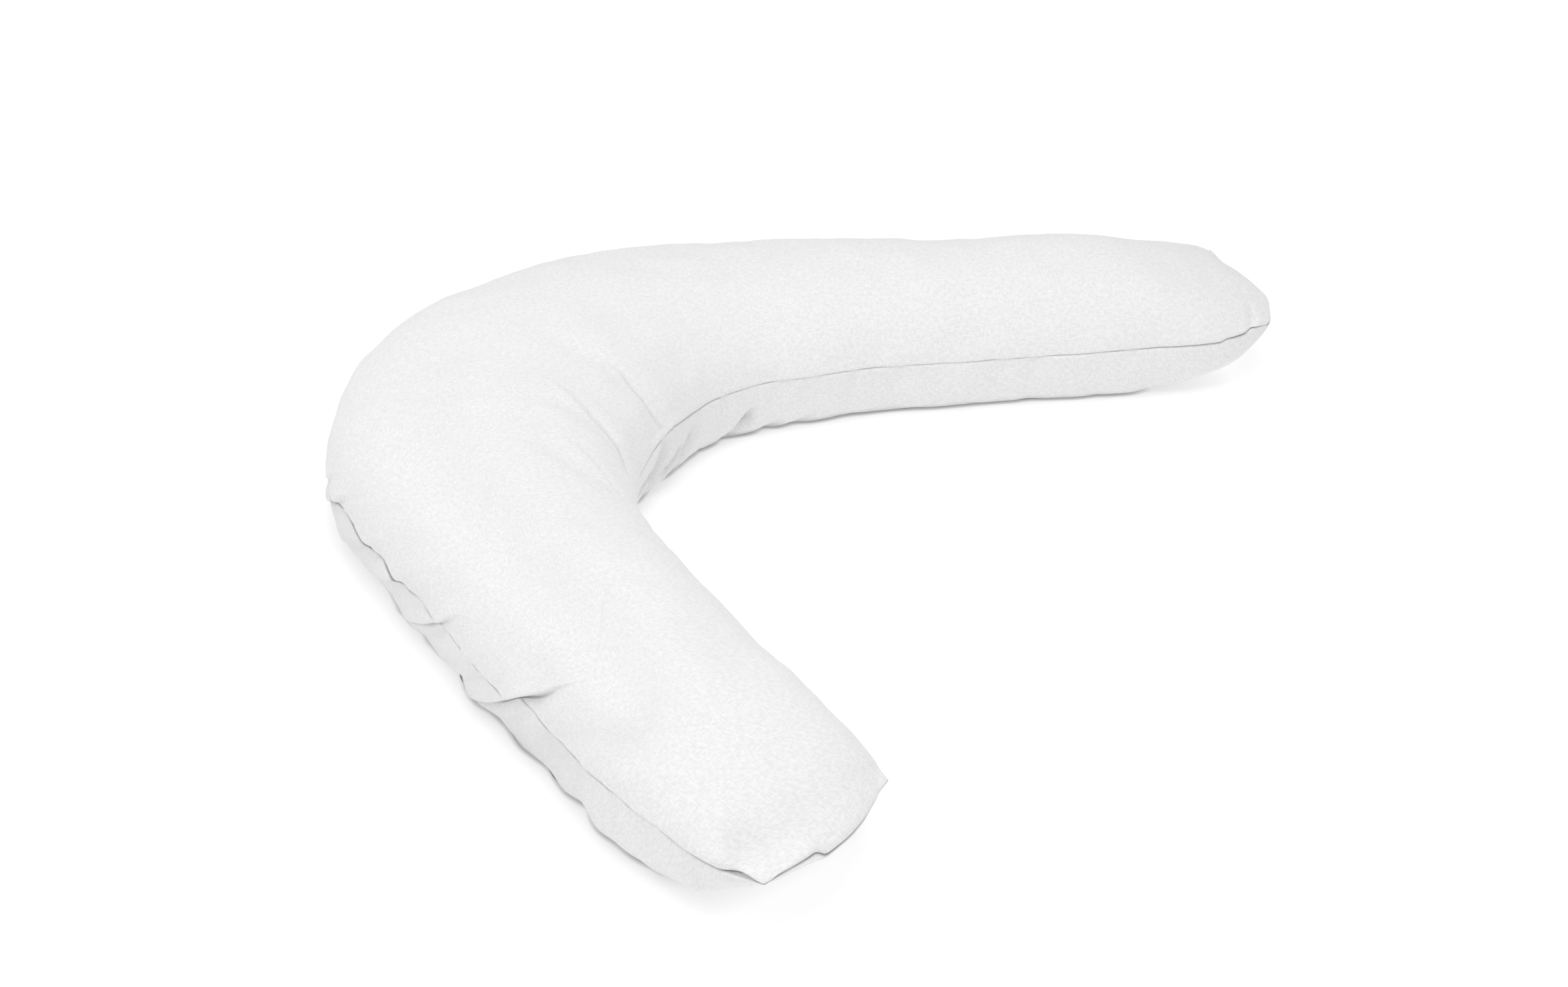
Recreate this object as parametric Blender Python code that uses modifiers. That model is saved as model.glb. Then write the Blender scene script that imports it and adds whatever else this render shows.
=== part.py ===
"""Body pillow: a long, soft-filled pillow that bends like a boomerang, lying flat on the floor.

A top panel and an underside panel of one pattern meet in one plain seam, which runs all the way
round at about half the pillow's height. The filled cover is one closed solid. It is lofted along a
bent middle line: every section is a half ellipse above the seam, and below it two short curved
walls that come down to a flat tread on the floor. Both ends close to a straight seam between two
pointed corners. Soft tucks step the outer side of the near arm, and troughs run out of the inner
corner of the bend, where the cloth is pushed together.

Units are metres and degrees. +Z is up, the floor is at z = 0, and the origin is the bottom centre
of the pillow's box. "Along" is the distance on the middle line from the near arm's end. "Around"
is the place on a section: 0 at the outer seam, 1 on the crest, 2 at the inner seam, 3 under the
middle of the pillow, and 4 back at the outer seam.
"""

import math
from collections import namedtuple

import bpy
import numpy as np

# The middle line, seen from above
LENGTH = 1.90  # from one end seam to the other
MIDDLE_POINT = (-0.338, 0.276)  # where the half-way point of the line lies
MIDDLE_HEADING = 64.2  # which way the line runs there, from +X
BEND_AT = 0.960  # where the bend is tightest
BEND_TURN = 115.2  # how far the bend turns to the right
BEND_REACH = 0.58  # the bend is spread this far to each side
NEAR_SWEEP = 14.4  # the near arm hooks a little further to the right at its end
NEAR_SWEEP_REACH = 0.41
FAR_SWEEP = -10.3  # and the far arm a little back to the left
FAR_SWEEP_REACH = 0.43
LINE_SAMPLES = 801  # steps in which the line's curvature is summed up

# The sections, from the near end to the far end
Section = namedtuple("Section", "along half_width crest outer_seam inner_seam tread")
SECTIONS = (
    #       along, half_width, crest height, outer and inner seam height, share of the width on the
    #       floor; the far arm's outer corner is lifted
    Section(0.000, 0.093, 0.160, 0.078, 0.080, 0.79),
    Section(0.055, 0.109, 0.160, 0.077, 0.075, 0.79),
    Section(0.150, 0.116, 0.160, 0.074, 0.068, 0.79),
    Section(0.340, 0.122, 0.161, 0.068, 0.062, 0.79),
    Section(0.610, 0.140, 0.163, 0.073, 0.065, 0.80),
    Section(0.950, 0.198, 0.177, 0.070, 0.070, 0.83),
    Section(1.290, 0.148, 0.164, 0.067, 0.073, 0.80),
    Section(1.560, 0.116, 0.160, 0.067, 0.067, 0.79),
    Section(1.750, 0.109, 0.160, 0.073, 0.070, 0.79),
    Section(1.845, 0.107, 0.159, 0.085, 0.071, 0.79),
    Section(1.900, 0.087, 0.160, 0.096, 0.075, 0.79),
)

# The ends close over these lengths. A power of 1 closes as bluntly as an ellipse, 2 as a wedge.
End = namedtuple("End", "top_close top_power under_close under_power skew bulge")
NEAR_END = End(0.285, 1.4, 0.17, 1.9, -0.015, -0.020)
FAR_END = End(0.24, 1.5, 0.21, 1.3, 0.000, 0.019)
END_FADE = 0.20  # an end's skew and bulge have died out this far in
WALL = 0.5  # each wall's share of "around", below the seam

# Tucks on the outer side of the near arm. Each is a step in the cloth that runs from the floor
# over the seam, leaning towards the near end as it climbs.
Tuck = namedtuple("Tuck", "at step at_floor overlap lead tail climb")
TUCKS = (
    #    where it crosses the seam, step out, share of the step left at the floor, lip past the
    #    step, length of the swell before it, length of the dip after it, how far up it climbs
    Tuck(0.360, 0.022, 0.2, 0.008, 0.045, 0.070, 0.100),
    Tuck(0.515, 0.009, 0.4, 0.000, 0.030, 0.030, 0.050),
    Tuck(0.580, 0.006, 0.6, 0.000, 0.025, 0.025, 0.040),
    Tuck(0.655, 0.006, 0.6, 0.000, 0.025, 0.025, 0.040),
    Tuck(0.735, 0.008, 0.6, 0.000, 0.030, 0.030, 0.040),
)
TUCK_PROUD = 0.25  # the share of a step that stands proud before the tuck; the rest sinks after it
TUCK_LEAN = 1.2  # how far a tuck runs back for each metre that it climbs
LEAN_FROM, LEAN_TO = 0.12, 1.02  # the stretch whose sections lean with the tucks
LEAN_IN, LEAN_OUT = 0.20, 0.30  # the lengths over which they come to lean, and stand up again
LEAN_HIGH = 0.4  # the lean dies out between this place "around" and the crest
TUCK_EDGE = 0.012  # the length that a step takes

# Troughs: soft creases given by the points they pass through, as (along, around)
Trough = namedtuple("Trough", "path depth half_width")
TROUGHS = (
    Trough(((0.930, 1.05), (0.910, 1.45), (0.885, 1.90)), 0.006, 0.016),
    Trough(((0.790, 1.20), (0.740, 1.50), (0.672, 1.84)), 0.006, 0.016),
    Trough(((0.690, 1.17), (0.610, 1.34), (0.560, 1.56)), 0.004, 0.018),
    Trough(((0.905, 2.00), (0.840, 2.25), (0.790, 2.42)), 0.008, 0.014),
    Trough(((1.110, 2.05), (0.990, 2.30), (0.880, 2.45)), 0.008, 0.014),
    Trough(((1.245, 2.12), (1.215, 2.30), (1.180, 2.45)), 0.006, 0.014),
)

TROUGH_START = 0.35  # a trough deepens over this share of its path
TROUGH_FINISH = 0.20  # and over this last share it loses part of its depth
TROUGH_LOSS = 0.6

# The cage
ROW_STEP = 0.032  # the spacing of the sections
ROW_CLEAR = 0.016  # an even section this close to a tuck's own is left out
TOP_FACES = 10  # faces across the top panel
WALL_FACES = 3  # faces down each wall
TREAD_FACES = 4  # faces across the tread
SEAM_CREASE = 0.4
COTTON = (0.90, 0.90, 0.90, 1.0)
COTTON_ROUGHNESS = 0.9
ROUNDING_LEVELS = 1

LEAST_RISE = 0.02  # the top's rise over the seam counts as at least this, for which way it faces
ARC_PER_AROUND = 0.165  # about the length of cloth from the seam to the crest
WALL_LENGTH = 0.075  # and from the seam to the floor


def clear_scene():
    """Remove every object that the file opened with."""
    for old in list(bpy.data.objects):
        bpy.data.objects.remove(old, do_unlink=True)


def smoothstep(value):
    """Rise from 0 to 1 with a level start and finish."""
    value = np.clip(value, 0.0, 1.0)
    return value * value * (3.0 - 2.0 * value)


def quarter_round(distance, reach):
    """Rise from 0 to 1 over the reach, as the profile of a quarter of an ellipse."""
    left = 1.0 - np.clip(distance / reach, 0.0, 1.0)
    return np.sqrt(1.0 - left * left)


def end_close(distance, reach, power):
    """How far an end has opened at a distance from its seam: 0 at the seam, 1 past the reach."""
    return quarter_round(distance, reach) ** power


def read_section(column, along):
    """A column of SECTIONS at any place, on a smooth curve through the table's rows."""
    knots = np.array([row.along for row in SECTIONS])
    values = np.array([getattr(row, column) for row in SECTIONS])
    slopes = np.gradient(values, knots)
    row = np.clip(np.searchsorted(knots, along, side="right") - 1, 0, len(knots) - 2)
    gap = knots[row + 1] - knots[row]
    t = (along - knots[row]) / gap
    start = (1 + 2 * t) * (1 - t) ** 2 * values[row] + t * (1 - t) ** 2 * gap * slopes[row]
    end = t * t * (3 - 2 * t) * values[row + 1] - t * t * (1 - t) * gap * slopes[row + 1]
    return start + end


def middle_line(along):
    """x, y and heading of the middle line: its curvature is summed up twice."""
    s = np.linspace(0.0, LENGTH, LINE_SAMPLES)
    step = s[1] - s[0]
    off_bend = np.clip((s - BEND_AT) / BEND_REACH, -1.0, 1.0)
    turn = math.radians(BEND_TURN) / BEND_REACH * np.cos(math.pi / 2 * off_bend) ** 2
    near = np.clip(1.0 - s / NEAR_SWEEP_REACH, 0.0, 1.0)
    far = np.clip(1.0 - (LENGTH - s) / FAR_SWEEP_REACH, 0.0, 1.0)
    turn += 2.0 * math.radians(NEAR_SWEEP) / NEAR_SWEEP_REACH * near
    turn += 2.0 * math.radians(FAR_SWEEP) / FAR_SWEEP_REACH * far

    def summed(rate):
        return np.concatenate([[0.0], np.cumsum((rate[1:] + rate[:-1]) / 2.0 * step)])

    half = len(s) // 2
    heading = -summed(turn)
    heading += math.radians(MIDDLE_HEADING) - heading[half]
    x, y = summed(np.cos(heading)), summed(np.sin(heading))
    x += MIDDLE_POINT[0] - x[half]
    y += MIDDLE_POINT[1] - y[half]
    return np.interp(along, s, x), np.interp(along, s, y), np.interp(along, s, heading)


def climb(around):
    """How far up the outer side a point lies from the seam, in metres of cloth, down below it."""
    up = np.where(around < 1.0, around * ARC_PER_AROUND, 0.0)
    up = up * (1.0 - smoothstep((around - LEAN_HIGH) / (1.0 - LEAN_HIGH)))
    down = np.where(around > 3.0, np.minimum((4.0 - around) / WALL, 1.0) * WALL_LENGTH, 0.0)
    return up - down * smoothstep((around - 3.0) / (1.0 - WALL))


def lean(along, around):
    """Slide the outer side's points along, so that the sections there lie along the tucks."""
    rise = smoothstep((along - LEAN_FROM) / LEAN_IN)
    fall = smoothstep((LEAN_TO - along) / LEAN_OUT)
    return along - TUCK_LEAN * climb(around) * rise * fall


def base_surface(along, around):
    """Points of the smooth pillow, and the directions in which its cloth faces."""
    x, y, heading = middle_line(along)
    half_width = read_section("half_width", along)
    crest = read_section("crest", along)
    outer_seam = read_section("outer_seam", along)
    inner_seam = read_section("inner_seam", along)
    tread = read_section("tread", along)
    from_near, from_far = along, LENGTH - along
    top_close = end_close(from_near, NEAR_END.top_close, NEAR_END.top_power)
    top_close = top_close * end_close(from_far, FAR_END.top_close, FAR_END.top_power)
    under_close = end_close(from_near, NEAR_END.under_close, NEAR_END.under_power)
    under_close = under_close * end_close(from_far, FAR_END.under_close, FAR_END.under_power)

    def seam_height(across):
        """The height of the sheet in which both seams lie."""
        return inner_seam + (outer_seam - inner_seam) * smoothstep(0.5 + 0.5 * across)

    # above the seam: half an ellipse
    angle = np.minimum(around, 2.0) * math.pi / 2
    top_across, top_up = np.cos(angle), np.sin(angle)
    top_seam = seam_height(top_across)
    top_z = top_seam + (crest - top_seam) * top_close * top_up

    # below it: a quarter ellipse down to the floor, the tread, and a quarter ellipse up again
    under = np.maximum(around, 2.0) - 2.0
    wall = np.minimum(np.minimum(under, 2.0 - under) / WALL, 1.0) * math.pi / 2
    side = np.sign(under - 1.0)
    on_tread = (under - 1.0) / (1.0 - WALL)
    under_across = np.where(
        wall < math.pi / 2 - 1e-9,
        side * (tread + (1.0 - tread) * np.cos(wall)),
        on_tread * tread,
    )
    # at the ends the underside's points draw in to those of the top, where both meet the seam
    under_across += (np.cos((2.0 - under) * math.pi / 2) - under_across) * (1.0 - under_close)
    under_z = seam_height(under_across) * (1.0 - under_close * np.sin(wall))

    is_top = around <= 2.0
    across = np.where(is_top, top_across, under_across)
    z = np.where(is_top, top_z, under_z)
    near_fade = np.clip(1.0 - from_near / END_FADE, 0.0, 1.0) ** 2
    far_fade = np.clip(1.0 - from_far / END_FADE, 0.0, 1.0) ** 2
    ahead = (NEAR_END.skew * near_fade + FAR_END.skew * far_fade) * across
    ahead += (NEAR_END.bulge * near_fade + FAR_END.bulge * far_fade) * (0.5 - across * across)
    left = half_width * across
    points = np.stack(
        [
            x + left * -np.sin(heading) + ahead * np.cos(heading),
            y + left * np.cos(heading) + ahead * np.sin(heading),
            z,
        ],
        axis=-1,
    )
    # on the walls the cloth faces level outwards, so that folds there never leave the floor
    face_left = np.where(is_top, top_across / half_width, side)
    rise = np.maximum((crest - top_seam) * top_close, LEAST_RISE)
    face_up = np.where(is_top, top_up / rise, 0.0)
    size = np.hypot(face_left, face_up)
    size[size == 0.0] = 1.0
    facing = np.stack(
        [
            face_left / size * -np.sin(heading),
            face_left / size * np.cos(heading),
            face_up / size,
        ],
        axis=-1,
    )
    return points, facing


def tuck_steps(along, around):
    """How far the tucks move the cloth out, and how far their lips move it to the near end."""
    outer = (around < 1.0) | (around > 3.0)
    below = np.clip((4.0 - around) / WALL, 0.0, 2.0) * WALL_LENGTH
    height = np.where(around < 1.0, around * ARC_PER_AROUND, -below)
    out, back = np.zeros_like(along), np.zeros_like(along)
    for tuck in TUCKS:
        past = along - tuck.at
        swell = np.exp(-np.abs(past) / np.where(past > 0.0, tuck.lead, tuck.tail))
        side = np.clip(2.0 * past / TUCK_EDGE, -1.0, 1.0)
        share = np.where(past > 0.0, TUCK_PROUD, 1.0 - TUCK_PROUD)
        reach = np.where(outer, 1.0 - smoothstep(height / tuck.climb), 0.0)
        reach = reach * smoothstep((height + 2.0 * WALL_LENGTH) / WALL_LENGTH)
        reach = reach * (1.0 - (1.0 - tuck.at_floor) * smoothstep(-height / WALL_LENGTH))
        out += share * tuck.step * side * swell * reach
        back += tuck.overlap * np.clip(side, 0.0, 1.0) * swell**3 * reach
    return out, back


def distance_to_path(points, path):
    """How far each point lies from a chain of straight runs, and how far along the chain."""
    nearest = np.full(points.shape[:-1], np.inf)
    place = np.zeros(points.shape[:-1])
    lengths = np.linalg.norm(np.diff(path, axis=0), axis=1)
    before = np.concatenate([[0.0], np.cumsum(lengths)])
    for start, run, length, gone in zip(path, np.diff(path, axis=0), lengths, before):
        share = np.clip((points - start) @ run / length**2, 0.0, 1.0)
        distance = np.linalg.norm(points - start - share[..., None] * run, axis=-1)
        closer = distance < nearest
        place = np.where(closer, gone + share * length, place)
        nearest = np.where(closer, distance, nearest)
    return nearest, place / before[-1]


def trough_depths(points):
    """How far the troughs sink the cloth: a soft valley across, fading out at both ends."""
    depth = np.zeros(points.shape[:-1])
    for trough in TROUGHS:
        knots = np.array(trough.path)
        at = np.linspace(0.0, len(knots) - 1.0, 13)
        along = np.interp(at, range(len(knots)), knots[:, 0])
        around = np.interp(at, range(len(knots)), knots[:, 1])
        path, _ = base_surface(along, around)
        distance, place = distance_to_path(points, path)
        fade = smoothstep(place / TROUGH_START)
        fade *= 1.0 - TROUGH_LOSS * smoothstep(1.0 - (1.0 - place) / TROUGH_FINISH)
        depth += trough.depth * fade * np.exp(-((distance / trough.half_width) ** 2))
    return depth


def pillow_surface(along, around):
    """Points of the pillow with its tucks and troughs."""
    shifted = lean(along, around)
    points, facing = base_surface(shifted, around)
    out, back = tuck_steps(along, around)
    _, _, heading = middle_line(shifted)
    lift = out - trough_depths(points)
    points = points + facing * lift[..., None]
    points[..., 0] -= back * np.cos(heading)
    points[..., 1] -= back * np.sin(heading)
    return points


def section_rows():
    """Where the cage's sections stand: evenly, with a close pair at each tuck."""
    pairs = [tuck.at + side * TUCK_EDGE / 2 for tuck in TUCKS for side in (-1, 1)]
    count = round(LENGTH / ROW_STEP)
    even = [LENGTH * i / count for i in range(count + 1)]
    kept = [s for s in even if all(abs(s - pair) > ROW_CLEAR for pair in pairs)]
    close_in = [ROW_STEP / 2, LENGTH - ROW_STEP / 2]
    return np.array(sorted(kept + pairs + close_in))


def section_places():
    """Where a section's points stand, as places "around": the top, a wall, the tread, a wall."""
    top = np.linspace(0.0, 2.0, TOP_FACES + 1)
    down = np.linspace(2.0, 2.0 + WALL, WALL_FACES + 1)[1:]
    tread = np.linspace(2.0 + WALL, 4.0 - WALL, TREAD_FACES + 1)[1:]
    up = np.linspace(4.0 - WALL, 4.0, WALL_FACES + 1)[1:-1]
    return np.concatenate([top, down, tread, up])


def build_cage():
    """The pillow's cage: quads between neighbouring sections, both panels sewn at each end."""
    rows, places = section_rows(), section_places()
    along, around = np.meshgrid(rows, places, indexing="ij")
    points = pillow_surface(along, around)
    row_count, ring = points.shape[:2]
    index = np.arange(row_count * ring).reshape(row_count, ring)
    # at an end seam the underside shares the top's points: place j under is place ring - j on top
    for end in (0, row_count - 1):
        for j in range(TOP_FACES + 1, ring):
            index[end, j] = index[end, ring - j]
    used, packed = np.unique(index, return_inverse=True)
    packed = packed.reshape(index.shape)
    after = np.roll(packed, -1, axis=1)
    quads = np.stack([packed[:-1], after[:-1], after[1:], packed[1:]], axis=-1).reshape(-1, 4)
    mesh = bpy.data.meshes.new("pillow")
    mesh.from_pydata(points.reshape(-1, 3)[used].tolist(), [], quads.tolist())
    mesh.update()
    crease_seam(mesh, packed)
    return mesh


def crease_seam(mesh, index):
    """Sharpen the edges of the perimeter seam: both sides, and across both ends."""
    runs = [index[:, 0], index[:, TOP_FACES], index[0, : TOP_FACES + 1], index[-1, : TOP_FACES + 1]]
    seam = {tuple(sorted(map(int, pair))) for run in runs for pair in zip(run[:-1], run[1:])}
    creases = mesh.attributes.new("crease_edge", "FLOAT", "EDGE")
    for edge in mesh.edges:
        if tuple(sorted(edge.vertices)) in seam:
            creases.data[edge.index].value = SEAM_CREASE


def make_cotton():
    """The cover's plain white cotton."""
    material = bpy.data.materials.new("white_cotton")
    material.use_nodes = True
    shader = material.node_tree.nodes["Principled BSDF"]
    shader.inputs["Base Color"].default_value = COTTON
    shader.inputs["Roughness"].default_value = COTTON_ROUGHNESS
    shader.inputs["Metallic"].default_value = 0.0
    return material


def make_pillow(collection):
    """The filled cover: the cage, its material and the subdivision that rounds it."""
    mesh = build_cage()
    mesh.materials.append(make_cotton())
    mesh.shade_smooth()
    pillow = bpy.data.objects.new("pillow", mesh)
    collection.objects.link(pillow)
    rounding = pillow.modifiers.new("rounding", "SUBSURF")
    rounding.levels = ROUNDING_LEVELS
    rounding.render_levels = ROUNDING_LEVELS
    return pillow


def main():
    clear_scene()
    collection = bpy.data.collections.new("body_pillow")
    bpy.context.scene.collection.children.link(collection)
    make_pillow(collection)


main()
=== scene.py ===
import logging
import math
from dataclasses import astuple, dataclass
from enum import Enum

import bpy
import numpy as np
from mathutils import Matrix, Vector


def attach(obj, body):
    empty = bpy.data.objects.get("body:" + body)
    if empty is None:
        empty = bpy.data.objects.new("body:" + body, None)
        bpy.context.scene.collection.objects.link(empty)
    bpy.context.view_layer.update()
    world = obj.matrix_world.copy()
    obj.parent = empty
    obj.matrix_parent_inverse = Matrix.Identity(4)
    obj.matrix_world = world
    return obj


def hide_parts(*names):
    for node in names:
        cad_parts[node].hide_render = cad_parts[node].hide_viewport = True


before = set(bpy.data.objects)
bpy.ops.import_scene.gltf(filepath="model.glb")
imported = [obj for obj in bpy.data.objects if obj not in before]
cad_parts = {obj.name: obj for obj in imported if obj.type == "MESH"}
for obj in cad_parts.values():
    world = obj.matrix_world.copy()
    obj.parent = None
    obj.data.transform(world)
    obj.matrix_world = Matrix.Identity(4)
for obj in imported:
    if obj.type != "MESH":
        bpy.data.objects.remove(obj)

log = logging.getLogger("body_pillow")
logging.basicConfig(level=logging.INFO, format="%(name)s: %(message)s")


# ----------------------------------------------------------------------------------------------
# Small curves and sums


def smoothstep(value: np.ndarray) -> np.ndarray:
    """Rise from 0 to 1 with a level start and finish: 3 v^2 - 2 v^3, and level beyond."""
    value = np.clip(value, 0.0, 1.0)
    return value * value * (3.0 - 2.0 * value)


def within(value: np.ndarray, ends: tuple[float, float], rise: float, fall: float) -> np.ndarray:
    """Mark what lies between two ends: 0 outside, 1 inside, with a soft rise and fall."""
    return smoothstep((value - ends[0]) / rise) * smoothstep((ends[1] - value) / fall)


def bell(offset: np.ndarray, half_width: float | np.ndarray) -> np.ndarray:
    """A soft bump, exp(-(offset / half_width)^2), which is down to 37% at its half width."""
    return np.exp(-((offset / half_width) ** 2))


def quarter_round(distance: np.ndarray, reach: float) -> np.ndarray:
    """Rise from 0 to 1 over the reach as a quarter ellipse, sqrt(1 - (1 - distance/reach)^2)."""
    left = 1.0 - np.clip(distance / reach, 0.0, 1.0)
    return np.sqrt(1.0 - left * left)


def smooth_curve(knots: np.ndarray, values: np.ndarray, at: np.ndarray) -> np.ndarray:
    """A smooth curve through given values (cubic, with the slopes of the neighbouring values).

    Args:
        knots: rising places of the given values.
        values: the values there.
        at: where to read the curve.

    Returns:
        The curve's values.
    """
    slopes = np.gradient(values, knots)
    row = np.clip(np.searchsorted(knots, at, side="right") - 1, 0, len(knots) - 2)
    gap = knots[row + 1] - knots[row]
    t = np.clip((at - knots[row]) / gap, 0.0, 1.0)
    start = (1 + 2 * t) * (1 - t) ** 2 * values[row] + t * (1 - t) ** 2 * gap * slopes[row]
    end = t * t * (3 - 2 * t) * values[row + 1] - t * t * (1 - t) * gap * slopes[row + 1]
    return start + end


def summed_up(steps: np.ndarray, axis: int = 0) -> np.ndarray:
    """Add steps up along an axis, from 0 before the first one."""
    start = np.zeros_like(np.take(steps, [0], axis=axis))
    return np.concatenate([start, np.cumsum(steps, axis=axis)], axis=axis)


def run_lengths(points: np.ndarray, axis: int = 0) -> np.ndarray:
    """Lengths of the straight runs between points that are neighbours on an axis."""
    return np.linalg.norm(np.diff(points, axis=axis), axis=-1)


def in_whole_steps(steps: np.ndarray, places: np.ndarray) -> np.ndarray:
    """Choose places one step apart, from how many steps each gap between dense places is worth."""
    gone = summed_up(steps)
    return np.interp(np.linspace(0.0, gone[-1], round(gone[-1]) + 1), gone, places)


# ----------------------------------------------------------------------------------------------
# Colours and objects


Colour = tuple[float, float, float, float]
WHITE = (1.0, 1.0, 1.0, 1.0)


def grey(value: float) -> Colour:
    """A neutral colour of the given linear value."""
    return (value, value, value, 1.0)


def placed(name: str, data: bpy.types.ID) -> bpy.types.Object:
    """Put something new into the scene, at the origin.

    Args:
        name: the object's name.
        data: its mesh, light or camera.

    Returns:
        The object.
    """
    thing = bpy.data.objects.new(name, data)
    bpy.context.scene.collection.objects.link(thing)
    return thing


# ----------------------------------------------------------------------------------------------
# The filled form: the same sizes as the solid that it replaces


@dataclass(frozen=True)
class MiddleLine:
    """The bent line down the middle of the pillow, seen from above. Lengths in metres."""

    length: float = 1.90
    middle_point: tuple[float, float] = (-0.338, 0.276)
    middle_heading_deg: float = 64.2
    bend_at: float = 0.960
    bend_turn_deg: float = 115.2
    bend_reach: float = 0.58
    near_sweep_deg: float = 14.4
    near_sweep_reach: float = 0.41
    far_sweep_deg: float = -10.3
    far_sweep_reach: float = 0.43
    samples: int = 801

    def at(self, along: np.ndarray) -> tuple[np.ndarray, np.ndarray, np.ndarray]:
        """Find points of the line, by summing its curvature up twice.

        Args:
            along: distances along the line from the near end.

        Returns:
            x, y and heading (radians from +X) at each distance.
        """
        s = np.linspace(0.0, self.length, self.samples)
        off_bend = np.clip((s - self.bend_at) / self.bend_reach, -1.0, 1.0)
        turn = math.radians(self.bend_turn_deg) / self.bend_reach
        turn = turn * np.cos(math.pi / 2 * off_bend) ** 2
        near = np.clip(1.0 - s / self.near_sweep_reach, 0.0, 1.0)
        far = np.clip(1.0 - (self.length - s) / self.far_sweep_reach, 0.0, 1.0)
        turn += 2.0 * math.radians(self.near_sweep_deg) / self.near_sweep_reach * near
        turn += 2.0 * math.radians(self.far_sweep_deg) / self.far_sweep_reach * far
        half = self.samples // 2
        heading = -self.summed(turn)
        heading += math.radians(self.middle_heading_deg) - heading[half]
        x, y = self.summed(np.cos(heading)), self.summed(np.sin(heading))
        x += self.middle_point[0] - x[half]
        y += self.middle_point[1] - y[half]
        return np.interp(along, s, x), np.interp(along, s, y), np.interp(along, s, heading)

    def summed(self, rate: np.ndarray) -> np.ndarray:
        """Sum a rate up over the line's samples, with straight runs between them."""
        step = self.length / (self.samples - 1)
        return summed_up((rate[1:] + rate[:-1]) / 2.0 * step)


@dataclass(frozen=True)
class SectionRow:
    """One section across the pillow. Metres, and tread as a share of the width."""

    along: float
    half_width: float
    crest: float
    outer_seam: float
    inner_seam: float
    tread: float


SECTIONS = (
    # along, half width, heights of crest, outer and inner seam, share of the width on the floor
    SectionRow(0.000, 0.093, 0.160, 0.078, 0.080, 0.79),
    SectionRow(0.055, 0.109, 0.160, 0.077, 0.075, 0.79),
    SectionRow(0.150, 0.116, 0.160, 0.074, 0.068, 0.79),
    SectionRow(0.340, 0.122, 0.161, 0.068, 0.062, 0.79),
    SectionRow(0.610, 0.140, 0.163, 0.073, 0.065, 0.80),
    SectionRow(0.950, 0.198, 0.177, 0.070, 0.070, 0.83),
    SectionRow(1.290, 0.148, 0.164, 0.067, 0.073, 0.80),
    SectionRow(1.560, 0.116, 0.160, 0.067, 0.067, 0.79),
    SectionRow(1.750, 0.109, 0.160, 0.073, 0.070, 0.79),
    SectionRow(1.845, 0.107, 0.159, 0.085, 0.071, 0.79),
    SectionRow(1.900, 0.087, 0.160, 0.096, 0.075, 0.79),
)


@dataclass(frozen=True)
class EndShape:
    """How an end closes. Metres; a power of 1 closes as bluntly as an ellipse, 2 as a wedge.

    skew: how far its outer corner stands ahead, towards the far end, and its inner one behind.
    bulge: how far its middle stands ahead of the line between the corners.
    """

    top_close: float
    top_power: float
    under_close: float
    under_power: float
    skew: float
    bulge: float


NEAR_END = EndShape(0.285, 1.4, 0.17, 1.9, -0.015, -0.020)
FAR_END = EndShape(0.24, 1.5, 0.21, 1.3, 0.000, 0.019)
END_FADE = 0.20  # an end's skew and bulge have died out this far in
CREST, INNER_EDGE, BELLY, RING = 1.0, 2.0, 3.0, 4.0  # places "around"; the outer seam is at 0
WALL = 0.5  # each wall's share of "around", below the seam
TREAD = (INNER_EDGE + WALL, RING - WALL)  # between these the cloth lies on the floor
ROUNDING = 1e-12  # sizes below this count as nothing


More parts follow.
